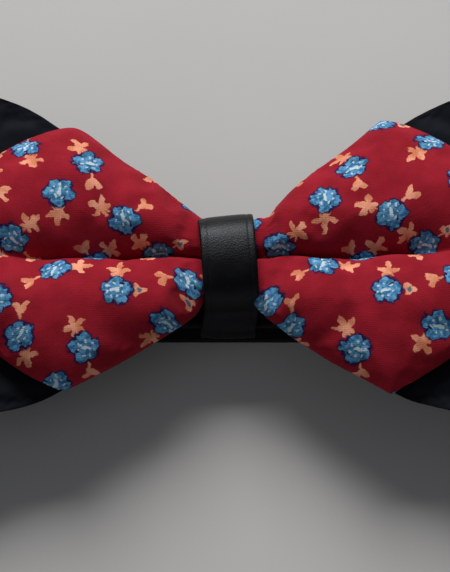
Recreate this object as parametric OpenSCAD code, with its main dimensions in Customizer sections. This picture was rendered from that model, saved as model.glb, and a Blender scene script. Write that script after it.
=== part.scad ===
// Pre-tied bow tie: a pointed front bow on a larger back bow, gathered by a leather knot
// that slides on an adjustable neck band. The tie lies on its back: X runs across the wings,
// +Y is the top edge as worn and +Z points out of the front. Millimetres.
// The neck band is fastened and folded flat, so its two runs lie one above the other.

/* [Front bow] */
// Width of the front bow, tip to tip
front_w = 120; // [104:1:126]
// Height of the front bow at its corners
front_h = 54; // [46:1:60]
// Distance from the centre to the front bow's corners
front_corner_x = 29; // [24:1:34]
// How far the front lobes puff out
front_puff = 6; // [4:0.5:8]

/* [Back bow] */
// Width of the back bow
back_w = 130; // [116:1:140]
// Height of the back bow at its corners
back_h = 70; // [60:1:76]

/* [Cloth] */
// Thickness of one ply of bow cloth
cloth_t = 0.5; // [0.3:0.1:0.6]
// Thickness of the interfacing inside each bow
interfacing_t = 0.4; // [0.2:0.1:0.4]

/* [Knot] */
// Width of the leather knot, across the wings
knot_w = 10.2; // [8:0.2:12]
// Thickness of the folded leather strip
leather_t = 1.2; // [0.8:0.1:1.4]

/* [Neck band] */
// Width of the neck band
band_w = 20; // [16:1:20]
// Thickness of the neck band
band_t = 1; // [0.8:0.1:1]
// Length of the fastened band when it is folded flat
band_span = 224; // [220:1:260]

/* [Hardware] */
// Radius of the round bars that the band loops over
bar_r = 0.45; // [0.35:0.05:0.45]
// Distance between the outer bars of the slider
slider_span = 12; // [10:1:13]
// Where the slider sits along the band
slider_x = 70; // [64:1:72]

/* [Hidden] */
$fn = 48;

CRIMSON = [0.60, 0.09, 0.15];
BLACK_CLOTH = [0.05, 0.05, 0.06];
BLACK_LEATHER = [0.08, 0.08, 0.08];
INTERFACING = [0.86, 0.85, 0.82];
THREAD = [0.16, 0.16, 0.18];
METAL = [0.75, 0.76, 0.78];

// Bow numbers, used as the first argument of the bow functions
FRONT = 0;
BACK = 1;

// Gathered section under the knot
pinch_half_h = 7.4;            // half height of both bows where the knot holds them
pinch_z = [14.6, 10.6];        // height of each bow's middle layer under the knot
wing_z = [15.2, 10.9];         // and where the wings begin
wing_rise = 6.8;               // how far the wings then rise to their tips
rise_start = 5.2;              // distance from the centre where the wings leave the knot
rise_end = 12;                 // distance from the centre where they have spread from the knot
back_edge_lift = [1.8, 2];     // forward curl of the back bow's long edges, and more outwards
seam_gap = 0.05;               // half the gap between face and lining at the seam
crease_floor = 0.3;            // least puff left at the bottom of the centre crease

// Cloth grid of a bow
wing_steps = 13;               // stations from the knot to the tip
ply_steps = 12;                // strips from the lower edge to the upper edge
inset = 0.93;                  // size of the interfacing against its bow

// Neck band levels: lower run on the ground, upper run through the knot
lower_z = band_t / 2;
upper_z = 7.1;
fold_r = (upper_z - lower_z) / 2;
fold_x = band_span / 2 - band_t / 2 - fold_r;
bar_z = 6.1;                   // centre of the hook and eye bars
return_z = 2 * bar_z - upper_z; // ply that runs back under the upper run
bar_loop_r = upper_z - bar_z;  // band loop round the hook and eye bars

// Closure, measured along the band from the right-hand fold
plate_t = 0.9;                 // sheet metal
eye_bar_x = fold_x - 4.2;      // bar that holds the band in the eye
eye_near_x = eye_bar_x - 9.4;  // outer edge of the eye's flat bar
hook_bar_x = eye_bar_x - 20;   // bar that holds the band in the hook
frame_half_w = band_w / 2 + 2.4;
slot_half_w = band_w / 2 + 0.4;
back_split_x = fold_x - 18;    // where the lower run meets the right-hand fold piece
loop_tail = 3.4;               // sewn length of the eye's band loop

// Slider
slider_outer_z = 8.35;         // centre of the two outer bars, above the upper run
slider_inner_z = 4.05;         // centre of the middle bar, below it
slider_bar_r = bar_r + 0.05;
slider_loop_r = return_z - slider_inner_z;
slider_tail = 6;               // sewn length of the slider's band loop
rail_t = 2;
rail_depth = 2.2;

// ---- Bow shape ----

function tip(b) = (b == FRONT ? front_w : back_w) / 2;

function smooth(t) = let (c = min(1, max(0, t))) c * c * (3 - 2 * c);

// Half height of a bow at distance s from the centre
function half_height(b, s) =
    s < rise_start ? pinch_half_h + 0.8 * smooth((s - 3.5) / (rise_start - 3.5))
    : b == FRONT ? front_half_height(s)
    : back_half_height(s);

// The front bow widens to its corner and then curves to a point
function front_half_height(s) =
    let (low = pinch_half_h + 0.8, high = front_h / 2)
    s <= front_corner_x
        ? low + (high - low) * pow((s - rise_start) / (front_corner_x - rise_start), 0.85)
        : 0.3 + (high - 0.3) * (1 - pow((s - front_corner_x) / (tip(FRONT) - front_corner_x), 1.6));

// The back bow widens along a quarter sine to a rounded corner
function back_half_height(s) =
    let (low = pinch_half_h + 0.8, high = back_h / 2, corner = tip(BACK) - 6,
         t = min(1, (s - rise_start) / (corner - rise_start)),
         over = max(0, (s - corner) / (tip(BACK) - corner)))
    low + (high - low) * sin(90 * t) - 4 * pow(over, 3);

// Height of the layer between face and lining
function middle_z(b, s, v) =
    pinch_z[b] + (wing_z[b] - pinch_z[b]) * smooth((s - rise_start) / (rise_end - rise_start))
    + wing_rise * smooth((s - 10) / (tip(b) - 10))
    + (b == BACK ? pow(abs(v), 4) * (back_edge_lift[0] * smooth((s - rise_start) / 14)
                                     + back_edge_lift[1] * smooth((s - 28) / 16)) : 0);

// Puff of the lobes before the crease, for a full height of one
function lobe(b, s, v) =
    pow(1 - pow(abs(v), 2.6), 0.5) * pow(max(0, 1 - pow(s / tip(b), b == FRONT ? 4 : 8)), 0.5);

// The centre crease is deep beside the knot and fades towards the tip
function crease(b, s, v) =
    let (depth = 0.9 - 0.75 * smooth((s - 8) / 26), w = 2.2 + s / 12)
    1 - depth * exp(-pow(v * half_height(b, s) / w, 2));

function face_puff(b, s, v) =
    let (full = b == FRONT ? front_puff : 1.5,
         grow = b == FRONT ? 0.5 + 0.5 * smooth((s - 3) / 11) : 0.8)
    min(1, (1 - abs(v)) * 20) * crease_floor + full * grow * lobe(b, s, v) * crease(b, s, v);

function lining_puff(b, s, v) =
    let (full = b == FRONT ? 1.1 : 1.4, grow = 0.45 + 0.55 * smooth((s - 5) / 10))
    min(1, (1 - abs(v)) * 20) * crease_floor + full * grow * lobe(b, s, v);

// Heights of the lower and upper side of each ply
function ply_z(b, layer, s, v) =
    let (m = middle_z(b, s, v))
    layer == "face" ? let (z = m + seam_gap + face_puff(b, s, v)) [z, z + cloth_t]
    : layer == "lining" ? let (z = m - seam_gap - lining_puff(b, s, v)) [z - cloth_t, z]
    : [m - interfacing_t / 2, m + interfacing_t / 2];

// Distances from the centre at which a bow is drawn, from one tip to the other
function stations(b) =
    let (out = [for (i = [1:wing_steps])
                   rise_start + (tip(b) - rise_start) * (1 - pow(1 - i / wing_steps, 1.25))],
         half = concat([3.5, rise_start], out))
    concat([for (i = [len(half) - 1:-1:0]) -half[i]], [0], half);

// One ply: a grid of points on each side, closed all round its edge
module ply(b, layer) {
    size = layer == "interfacing" ? inset : 1;
    xs = stations(b);
    columns = len(xs);
    rows = ply_steps + 1;
    vs = [for (j = [0:ply_steps]) sin(90 * (2 * j / ply_steps - 1))];
    points = [for (side = [0, 1]) for (x = xs) for (v = vs)
        let (s = abs(x) * size, end_bulge = b == BACK ? 2.5 * v * v * pow(s / tip(b), 6) : 0)
        [sign(x) * (s - end_bulge), v * half_height(b, abs(x)) * size, ply_z(b, layer, s, v * size)[side]]];
    side_points = columns * rows;
    bottom = [for (i = [0:columns - 2]) for (j = [0:ply_steps - 1])
        let (a = i * rows + j) each [[a, a + rows, a + rows + 1], [a, a + rows + 1, a + 1]]];
    top = [for (f = bottom) [f[2] + side_points, f[1] + side_points, f[0] + side_points]];
    rim = concat(
        [for (i = [0:columns - 1]) i * rows],
        [for (j = [1:ply_steps]) (columns - 1) * rows + j],
        [for (i = [columns - 2:-1:0]) i * rows + ply_steps],
        [for (j = [ply_steps - 1:-1:1]) j]);
    walls = [for (k = [0:len(rim) - 1])
        let (a = rim[k], c = rim[(k + 1) % len(rim)])
        each [[a, a + side_points, c + side_points], [a, c + side_points, c]]];
    polyhedron(points, concat(bottom, top, walls), convexity = 6);
}

module front_bow_face() { color(CRIMSON) ply(FRONT, "face"); }

module front_bow_lining() { color(CRIMSON) ply(FRONT, "lining"); }

module front_bow_interfacing() { color(INTERFACING) ply(FRONT, "interfacing"); }

module back_bow_face() { color(BLACK_CLOTH) ply(BACK, "face"); }

module back_bow_lining() { color(BLACK_CLOTH) ply(BACK, "lining"); }

module back_bow_interfacing() { color(INTERFACING) ply(BACK, "interfacing"); }

// ---- Knot ----

// Section across the knot: straight sides below the waist, a squarish dome above it
function knot_section(front_half, back_half, low_z, high_z) =
    let (corner = 0.6, shoulder_z = max(8.3, low_z + 2 * corner), waist_z = 12, dome_steps = 24,
         dome = [for (i = [0:dome_steps]) let (a = 180 * i / dome_steps)
             [front_half * sign(cos(a)) * pow(abs(cos(a)), 2 / 3),
              waist_z + (high_z - waist_z) * pow(abs(sin(a)), 2 / 3)]],
         side = [[back_half - corner, low_z], [back_half, low_z + corner], [back_half, shoulder_z]])
    concat(side, dome, [for (i = [2:-1:0]) [-side[i][0], side[i][1]]]);

module across_wings(width) {
    rotate([90, 0, 90]) linear_extrude(height = width, center = true) children();
}

thread_t = 0.5;
thread_half = pinch_half_h + 0.3;
thread_low_z = 8.9;
thread_high_z = 19.7;
wrap_half = thread_half + thread_t + 0.25;
wrap_back_half = band_w / 2 + 0.3;
wrap_low_z = 5.7;
wrap_high_z = thread_high_z + thread_t + 0.4;

// Windings that gather both bows before the leather goes on
module gather_thread() {
    color(THREAD) for (x = [-2.4, -0.8, 0.8, 2.4]) translate([x, 0, 0])
        across_wings(thread_t) difference() {
            polygon(knot_section(thread_half + thread_t, thread_half + thread_t,
                                 thread_low_z - thread_t, thread_high_z + thread_t));
            polygon(knot_section(thread_half, thread_half, thread_low_z, thread_high_z));
        }
}

// Leather strip wrapped round both bows and the upper run of the band
module knot_wrap() {
    color(BLACK_LEATHER) across_wings(knot_w) difference() {
        polygon(knot_section(wrap_half + leather_t, wrap_back_half + leather_t,
                             wrap_low_z - leather_t, wrap_high_z + leather_t));
        polygon(knot_section(wrap_half, wrap_back_half, wrap_low_z, wrap_high_z));
    }
}

// Hand stitches that close the strip behind the knot
module knot_stitches() {
    stitch_r = 0.25;
    color(THREAD) for (x = [-3.6:1.8:3.6])
        translate([x, 0, wrap_low_z - leather_t]) rotate([90, 0, 20])
            cylinder(r = stitch_r, h = 2.4, center = true);
}

// ---- Neck band ----

// A straight run of band between two places, centred on height z
module run(x0, x1, z) {
    translate([x0, -band_w / 2, z - band_t / 2]) cube([x1 - x0, band_w, band_t]);
}

// Half a turn of band; side 1 bulges to the right, side -1 to the left
module turn(x, z, r, side) {
    translate([x, 0, z]) rotate([90, 0, 0]) linear_extrude(height = band_w, center = true)
        difference() {
            circle(r + band_t / 2);
            circle(r - band_t / 2);
            translate([side > 0 ? -2 * r - band_t : 0, -2 * r]) square([2 * r + band_t, 4 * r]);
        }
}

module band_front() {
    color(BLACK_CLOTH) {
        run(-fold_x, hook_bar_x, upper_z);
        turn(hook_bar_x, bar_z, bar_loop_r, 1);
    }
}

module band_back() { color(BLACK_CLOTH) run(-fold_x, back_split_x, lower_z); }

module band_left_fold() { color(BLACK_CLOTH) turn(-fold_x, lower_z + fold_r, fold_r, -1); }

module band_right_fold() {
    color(BLACK_CLOTH) {
        run(back_split_x, fold_x, lower_z);
        turn(fold_x, lower_z + fold_r, fold_r, 1);
        run(eye_bar_x + loop_tail, fold_x, upper_z);
    }
}

module band_return() { color(BLACK_CLOTH) run(slider_x + slider_tail, hook_bar_x, return_z); }

module band_slider_loop() {
    color(BLACK_CLOTH) {
        run(slider_x, slider_x + slider_tail, return_z);
        turn(slider_x, slider_inner_z, slider_loop_r, -1);
        run(slider_x, slider_x + slider_tail, slider_inner_z - slider_loop_r);
    }
}

module band_eye_loop() {
    color(BLACK_CLOTH) {
        run(eye_bar_x, eye_bar_x + loop_tail, upper_z);
        turn(eye_bar_x, bar_z, bar_loop_r, -1);
        run(eye_bar_x, eye_bar_x + loop_tail, return_z);
    }
}

// A row of thread bars sewn through two plies of band
module tack(x, low_z, high_z) {
    thread_r = 0.25;
    color(THREAD) for (i = [-4:4]) translate([x, i * band_w / 10, 0]) {
        translate([0, 0, low_z]) cylinder(r = thread_r, h = high_z - low_z);
        translate([0, 0, high_z]) rotate([0, 90, 20]) cylinder(r = thread_r, h = 1.6, center = true);
    }
}

module slider_tack() {
    tack(slider_x + slider_tail - 1.8, slider_inner_z - slider_loop_r - band_t / 2 - 0.1,
         return_z + band_t / 2 + 0.1);
}

module eye_tack() {
    tack(eye_bar_x + loop_tail - 1.3, return_z - band_t / 2 - 0.1, upper_z + band_t / 2 + 0.1);
}

// ---- Hardware ----

module bar(x, z, r, half) {
    translate([x, 0, z]) rotate([90, 0, 0]) cylinder(r = r, h = 2 * half, center = true);
}

// Flat stamped plate with rounded corners, from x0 to x1
module plate(x0, x1, half, r) {
    translate([0, 0, bar_z - plate_t / 2]) linear_extrude(height = plate_t) {
        translate([x0 + r, -half]) square([x1 - x0 - 2 * r, 2 * half]);
        translate([x0, -half + r]) square([x1 - x0, 2 * half - 2 * r]);
        for (x = [x0 + r, x1 - r]) for (y = [-half + r, half - r]) translate([x, y]) circle(r);
    }
}

module slider() {
    rail_steps = 8;
    rail_half = slider_span / 2 + 1.2;
    function rail_z(x) =
        slider_inner_z + 0.35
        + (slider_outer_z - slider_inner_z - 0.9) * pow(x / (slider_span / 2), 2);
    xs = [for (i = [0:rail_steps]) rail_half * (2 * i / rail_steps - 1)];
    lower = [for (x = xs) [x, max(3.2, min(rail_z(x), slider_outer_z - 0.55) - rail_depth / 2)]];
    upper = [for (i = [rail_steps:-1:0])
        [xs[i], min(slider_outer_z + 0.55, rail_z(xs[i]) + rail_depth / 2)]];
    color(METAL) translate([slider_x, 0, 0]) {
        for (y = [-1, 1]) translate([0, y * (band_w / 2 + 0.6 + rail_t / 2), 0])
            rotate([90, 0, 0]) linear_extrude(height = rail_t, center = true)
                polygon(concat(lower, upper));
        for (x = [-1, 1]) bar(x * slider_span / 2, slider_outer_z, slider_bar_r, band_w / 2 + 1);
        bar(0, slider_inner_z, slider_bar_r, band_w / 2 + 1);
    }
}

// Hook: a bar for the band, a flat frame, and a tongue that curls under the eye's flat bar
module hook() {
    tongue_t = 0.8;
    tongue_half = 5;
    over_z = bar_z + 1.25;
    under_z = bar_z - 1.25;
    plate_end = hook_bar_x + 5.2;
    bend_x = eye_near_x + 2;
    h = tongue_t / 2;
    color(METAL) {
        difference() {
            plate(hook_bar_x - 0.2, plate_end, frame_half_w, 1.2);
            translate([hook_bar_x - 1, -slot_half_w, 0]) cube([4.2, 2 * slot_half_w, 2 * bar_z]);
        }
        bar(hook_bar_x, bar_z, bar_r, slot_half_w + 0.6);
        rotate([90, 0, 0]) linear_extrude(height = 2 * tongue_half, center = true) {
            polygon([
                [plate_end - 0.8, bar_z - h], [plate_end - 0.8, bar_z + h],
                [plate_end + 0.9, over_z + h], [bend_x, over_z + h], [bend_x, over_z - h],
                [plate_end + 1.2, over_z - h], [plate_end, bar_z - h]
            ]);
            difference() {
                translate([bend_x, bar_z]) circle(over_z - bar_z + h);
                translate([bend_x, bar_z]) circle(over_z - bar_z - h);
                translate([bend_x - 4, 0]) square([4, 2 * bar_z]);
            }
            translate([bend_x - 2.6, under_z - h]) square([2.6, tongue_t]);
        }
    }
}

// Eye: a ring with one flat bar for the hook and one round bar for the band
module eye() {
    color(METAL) {
        difference() {
            plate(eye_near_x, eye_bar_x + 0.2, frame_half_w, 1.2);
            translate([eye_near_x + 1.8, -slot_half_w, 0])
                cube([eye_bar_x - eye_near_x, 2 * slot_half_w, 2 * bar_z]);
        }
        bar(eye_bar_x, bar_z, bar_r, slot_half_w + 0.6);
    }
}

front_bow_face();
front_bow_lining();
front_bow_interfacing();
back_bow_face();
back_bow_lining();
back_bow_interfacing();
gather_thread();
knot_wrap();
knot_stitches();
band_front();
band_back();
band_left_fold();
band_right_fold();
band_return();
band_slider_loop();
band_eye_loop();
slider();
slider_tack();
hook();
eye();
eye_tack();
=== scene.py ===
"""The looks of a pre-tied bow tie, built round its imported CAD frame.

Shapes are worked out in millimetres in the CAD's own frame (X across the wings, +Y the top edge as worn,
+Z out of the front) and scaled to metres when a mesh is made.
"""
import math
import random
from collections import namedtuple

import bpy
import numpy as np
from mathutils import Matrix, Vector, noise


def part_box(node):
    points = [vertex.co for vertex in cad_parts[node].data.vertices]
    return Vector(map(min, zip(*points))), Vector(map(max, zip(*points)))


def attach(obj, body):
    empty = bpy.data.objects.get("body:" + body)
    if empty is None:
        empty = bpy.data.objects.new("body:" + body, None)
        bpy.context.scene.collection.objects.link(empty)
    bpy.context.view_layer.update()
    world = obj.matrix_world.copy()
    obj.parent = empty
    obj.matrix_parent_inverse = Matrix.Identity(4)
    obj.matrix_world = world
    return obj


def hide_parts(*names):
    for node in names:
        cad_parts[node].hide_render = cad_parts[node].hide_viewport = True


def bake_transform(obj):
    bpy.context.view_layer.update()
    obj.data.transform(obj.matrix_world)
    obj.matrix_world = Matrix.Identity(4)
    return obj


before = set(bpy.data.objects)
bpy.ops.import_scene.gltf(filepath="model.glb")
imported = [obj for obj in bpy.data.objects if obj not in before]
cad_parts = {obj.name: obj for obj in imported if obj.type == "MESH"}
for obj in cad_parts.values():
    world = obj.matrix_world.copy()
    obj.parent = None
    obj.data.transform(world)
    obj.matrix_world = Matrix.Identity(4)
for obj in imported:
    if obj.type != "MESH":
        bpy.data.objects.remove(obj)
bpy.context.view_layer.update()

MM = 0.001
UV_PER_MM = 0.01  # one UV unit is 100 mm of flat cloth
UV_LAYER = "cloth"


def node_box(node):
    """Lowest and highest corner of a CAD node, in mm."""
    low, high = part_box(node)
    return np.array(low) / MM, np.array(high) / MM


def smooth(t):
    t = np.clip(t, 0, 1)
    return t * t * (3 - 2 * t)


# ---- camera

CAMERA_ELEVATION = math.radians(65)
CAMERA_DISTANCE = 0.540
LENS = 184
VIEW_X = -0.6  # the view's middle, in mm from the knot's, and how far below the knot it lies
VIEW_DROP = 5.4
bow_low, bow_high = node_box("front_bow_face")
PINCH_Z = bow_low[2]  # height of the front bow's seam under the knot
BOW_Z = PINCH_Z + 2.35  # height of the view's middle


def add_camera():
    """Looks down at the bow from below its lower edge, with the knot a little above the middle."""
    up = Vector((0, math.sin(CAMERA_ELEVATION), math.cos(CAMERA_ELEVATION)))
    back = Vector((0, -math.cos(CAMERA_ELEVATION), math.sin(CAMERA_ELEVATION)))
    target = Vector((VIEW_X, 0, BOW_Z)) * MM - up * VIEW_DROP * MM
    data = bpy.data.cameras.new("camera")
    data.lens = LENS
    data.clip_start = 0.01
    camera = bpy.data.objects.new("camera", data)
    camera.location = target + back * CAMERA_DISTANCE
    camera.rotation_mode = "QUATERNION"
    camera.rotation_quaternion = (-back).to_track_quat("-Z", "Y")
    bpy.context.scene.collection.objects.link(camera)
    bpy.context.scene.camera = camera


add_camera()

# ---- shader helpers


class Graph:
    """A material's node tree, with short ways to add the nodes used here."""

    def __init__(self, name):
        self.material = bpy.data.materials.new(name)
        self.material.use_nodes = True
        self.tree = self.material.node_tree
        self.tree.nodes.clear()
        self.shader = self.add("ShaderNodeBsdfPrincipled")
        out = self.add("ShaderNodeOutputMaterial")
        self.tree.links.new(self.shader.outputs[0], out.inputs[0])

    def add(self, kind, **settings):
        node = self.tree.nodes.new(kind)
        for key, value in settings.items():
            setattr(node, key, value)
        return node

    def put(self, value, socket):
        if isinstance(value, bpy.types.NodeSocket):
            self.tree.links.new(value, socket)
        else:
            socket.default_value = value

    def math(self, operation, a, b=0.0, c=0.0):
        node = self.add("ShaderNodeMath", operation=operation)
        for value, socket in zip((a, b, c), node.inputs):
            self.put(value, socket)
        return node.outputs[0]

    def vector(self, operation, a, b=(0, 0, 0), c=(0, 0, 0)):
        node = self.add("ShaderNodeVectorMath", operation=operation)
        for value, socket in zip((a, b, c), node.inputs):
            self.put(value, socket)
        return node.outputs["Value" if operation in ("LENGTH", "DOT_PRODUCT") else "Vector"]

    def scale(self, vector, factor):
        node = self.add("ShaderNodeVectorMath", operation="SCALE")
        self.put(vector, node.inputs[0])
        self.put(factor, node.inputs["Scale"])
        return node.outputs[0]

    def mix(self, a, b, factor):
        """Colour a where factor is 0, b where it is 1."""
        node = self.add("ShaderNodeMix", data_type="RGBA")
        self.put(factor, node.inputs[0])
        self.put(a, node.inputs[6])
        self.put(b, node.inputs[7])
        return node.outputs[2]

    def darken(self, colour, shade):
        """The colour times a grey value."""
        grey = self.add("ShaderNodeCombineColor")
        for socket in grey.inputs:
            self.put(shade, socket)
        node = self.add("ShaderNodeMix", data_type="RGBA", blend_type="MULTIPLY")
        node.inputs[0].default_value = 1.0
        self.put(colour, node.inputs[6])
        self.put(grey.outputs[0], node.inputs[7])
        return node.outputs[2]

    def mix_vector(self, a, b, factor):
        node = self.add("ShaderNodeMix", data_type="VECTOR")
        self.put(factor, node.inputs[0])
        self.put(a, node.inputs[4])
        self.put(b, node.inputs[5])
        return node.outputs[1]

    def noise(self, vector, scale, detail=2.0, roughness=0.5, colour=False):
        node = self.add("ShaderNodeTexNoise")
        self.put(vector, node.inputs["Vector"])
        node.inputs["Scale"].default_value = scale
        node.inputs["Detail"].default_value = detail
        node.inputs["Roughness"].default_value = roughness
        return node.outputs["Color" if colour else "Fac"]

    def ramp(self, value, low, high, to_low=0.0, to_high=1.0):
        """A soft step from to_low, where value is low, to to_high, where it is high."""
        node = self.add("ShaderNodeMapRange", interpolation_type="SMOOTHSTEP")
        for item, socket in zip((value, low, high, to_low, to_high), node.inputs):
            self.put(item, socket)
        return node.outputs[0]

    def split(self, vector):
        """The vector's x, y and z."""
        node = self.add("ShaderNodeSeparateXYZ")
        self.put(vector, node.inputs[0])
        return node.outputs[0], node.outputs[1], node.outputs[2]

    def cloth_mm(self):
        """Place on the flat cloth, in mm."""
        node = self.add("ShaderNodeUVMap", uv_map=UV_LAYER)
        return self.scale(node.outputs[0], 1 / UV_PER_MM)

    def object_mm(self):
        """Place in the object's own space, in mm."""
        node = self.add("ShaderNodeTexCoord")
        return self.scale(node.outputs["Object"], 1 / MM)

    def bump(self, height, distance_mm, strength=1.0, normal=None):
        node = self.add("ShaderNodeBump")
        node.inputs["Strength"].default_value = strength
        node.inputs["Distance"].default_value = distance_mm * MM
        self.put(height, node.inputs["Height"])
        if normal is not None:
            self.put(normal, node.inputs["Normal"])
        return node.outputs[0]

    def finish(self, **inputs):
        """The material, with each value set on or linked to the shader's socket of that name."""
        for key, value in inputs.items():
            self.put(value, self.shader.inputs[key.replace("_", " ")])
        return self.material


def weave(g, place, pitch):
    """Height of a plain weave, 0 to 1: warp and weft pass over each other by turns."""
    x, y, _ = g.split(place)
    turn = math.pi / pitch
    warp = g.math("ABSOLUTE", g.math("SINE", g.math("MULTIPLY", x, turn)))
    weft = g.math("ABSOLUTE", g.math("SINE", g.math("MULTIPLY", y, turn)))
    over = g.math("MULTIPLY", g.math("COSINE", g.math("MULTIPLY", x, turn)),
                  g.math("COSINE", g.math("MULTIPLY", y, turn)))
    over = g.ramp(over, -0.4, 0.4)
    first = g.math("MULTIPLY", warp, over)
    second = g.math("MULTIPLY", weft, g.math("SUBTRACT", 1.0, over))
    return g.math("ADD", first, second)


def twill(g, place, pitch):
    """Height of a twill's slanting ribs, 0 to 1, broken by the weft."""
    x, y, _ = g.split(place)
    slant = g.math("ADD", x, g.math("MULTIPLY", y, 0.8))
    rib = g.math("ABSOLUTE", g.math("SINE", g.math("MULTIPLY", slant, math.pi / pitch)))
    weft = g.math("ABSOLUTE", g.math("SINE", g.math("MULTIPLY", y, 2 * math.pi / pitch)))
    return g.math("ADD", g.math("MULTIPLY", rib, 0.75), g.math("MULTIPLY", weft, 0.25))


# ---- the floral print

REPEAT = (49.0, 43.0)  # the print repeats every so many mm of cloth
PRINT_SEED = 23
FLOWER_COLUMNS, FLOWER_ROWS = 4, 4
FLOWER_STRAY = (0.24, 0.2)  # how far a flower strays, as shares of the steps between flowers
LEAVES, BUDS, SPROUTS = 16, 8, 10  # of each motif, as many as find room
LEAF_DISTANCE = 4.3  # from the middle of the flower that the leaf or sprout stands at
BUD_DISTANCE = 4.4
FLOWER_ROOM = 4.7  # least distance to the middle of any other flower
MOTIF_ROOM = 4.1  # least distance between leaves, sprouts and buds
TRIES = 80
PETALS = 5
LEAF_LOBES = 5
BUD_LOBES = 3
STAMENS = 7
SOFT = 0.2  # width in mm of a motif's soft edge
STALK_BACK = 0.8  # how far behind a motif's middle its stalk's middle is
LEAF_SCALE = 0.8
FLOWER_SCALE = 0.9
PEACHES = (0.67, 0.215, 0.11, 1), (0.92, 0.39, 0.25, 1)
BLUES = (0.035, 0.15, 0.35, 1), (0.13, 0.38, 0.64, 1)
BUD_BLUES = (0.03, 0.15, 0.10, 1), (0.015, 0.12, 0.22, 1)
TEAL = (0.010, 0.13, 0.15, 1)
OUTLINE = (0.020, 0.006, 0.060, 1)
SPOT = (0.012, 0.016, 0.08, 1)
WHITE = (0.60, 0.72, 0.78, 1)


def wrapped_distance(a, b):
    return math.hypot(*((a[k] - b[k] + REPEAT[k] / 2) % REPEAT[k] - REPEAT[k] / 2 for k in (0, 1)))


def flower_places(r):
    """Places of the flowers in one repeat, as (x, y, turn) each, on a shifted grid that they stray from."""
    step = [REPEAT[0] / FLOWER_COLUMNS, REPEAT[1] / FLOWER_ROWS]
    flowers = []
    for row in range(FLOWER_ROWS):
        for column in range(FLOWER_COLUMNS):
            x = (column + 0.5 * (row % 2) + r.uniform(-FLOWER_STRAY[0], FLOWER_STRAY[0])) * step[0]
            y = (row + 0.25 * (column % 2) + r.uniform(-FLOWER_STRAY[1], FLOWER_STRAY[1])) * step[1]
            flowers.append((x, y, r.uniform(0, 2 * math.pi)))
    return flowers


def free_place(r, flower, distance, flowers, taken):
    """A place at the flower's edge, pointing away from it, that keeps clear of the other motifs."""
    for _ in range(TRIES):
        turn = r.uniform(0, 2 * math.pi)
        place = (flower[0] + distance * math.cos(turn), flower[1] + distance * math.sin(turn), turn)
        apart = [wrapped_distance(place, other) for other in flowers if other is not flower]
        if min(apart) > FLOWER_ROOM and all(wrapped_distance(place, o) > MOTIF_ROOM for o in taken):
            return place
    return None


def print_layout():
    """Places of the flowers, leaves, sprouts and buds in one repeat."""
    r = random.Random(PRINT_SEED)
    flowers = flower_places(r)
    leaves, sprouts, buds = [], [], []
    for wanted, count, distance in ((leaves, LEAVES, LEAF_DISTANCE), (buds, BUDS, BUD_DISTANCE),
                                    (sprouts, SPROUTS, LEAF_DISTANCE)):
        for flower in r.sample(flowers, count):
            place = free_place(r, flower, distance, flowers, leaves + sprouts + buds)
            if place:
                wanted.append(place)
    return flowers, leaves, sprouts, buds


def nearest(g, place, motifs):
    """(vector from the nearest motif's middle, turned to the motif's own axes; distance)."""
    best = best_length = None
    for x, y, turn in motifs:
        offset = g.vector("SUBTRACT", place, (x, y, 0))
        offset = g.vector("WRAP", offset, (REPEAT[0] / 2, REPEAT[1] / 2, 1),
                          (-REPEAT[0] / 2, -REPEAT[1] / 2, -1))
        rotate = g.add("ShaderNodeVectorRotate", rotation_type="Z_AXIS")
        g.put(offset, rotate.inputs["Vector"])
        rotate.inputs["Angle"].default_value = -turn
        offset = rotate.outputs[0]
        length = g.vector("LENGTH", offset)
        if best is None:
            best, best_length = offset, length
            continue
        closer = g.math("LESS_THAN", length, best_length)
        best = g.mix_vector(best, offset, closer)
        best_length = g.math("MINIMUM", best_length, length)
    return best, best_length


def spokes(g, angle, count, power):
    """1 along count directions and 0 between them."""
    wave = g.math("COSINE", g.math("MULTIPLY", angle, count / 2))
    return g.math("POWER", g.math("ABSOLUTE", wave), power)


def below(g, value, limit, edge=SOFT):
    """1 where value is under limit, with a soft edge that wide, in mm."""
    return g.ramp(g.math("SUBTRACT", limit, value), -edge / 2, edge / 2)


def capsule(g, x, y, length, width):
    """Distance in mm from a stroke along x, less its half width."""
    over = g.math("MAXIMUM", g.math("SUBTRACT", g.math("ABSOLUTE", x), length / 2), 0.0)
    square = g.math("ADD", g.math("MULTIPLY", over, over), g.math("MULTIPLY", y, y))
    return g.math("SUBTRACT", g.math("SQRT", square), g.math("MULTIPLY", width, 0.5))


def stalk(g, x, y, length, width):
    """A short stroke from behind a motif to its middle."""
    return below(g, capsule(g, g.math("ADD", x, STALK_BACK), y, length, width), 0.0)


def leaf_shapes(g, place, leaves, rag):
    """Lobed leaves on stalks."""
    leaf, length = nearest(g, place, leaves)
    x, y, _ = g.split(leaf)
    angle = g.math("ARCTAN2", y, x)
    lobes = g.math("MULTIPLY_ADD", spokes(g, angle, LEAF_LOBES, 1.5), 1.2, 0.75)
    forward = g.math("MULTIPLY_ADD", g.math("COSINE", angle), 0.22, 0.86)
    edge = g.math("MULTIPLY_ADD", rag, 0.9, g.math("MULTIPLY", lobes, forward))
    blade = below(g, g.math("MULTIPLY", length, LEAF_SCALE), edge)
    return g.math("MAXIMUM", blade, stalk(g, x, y, 1.7, 0.4))


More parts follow.
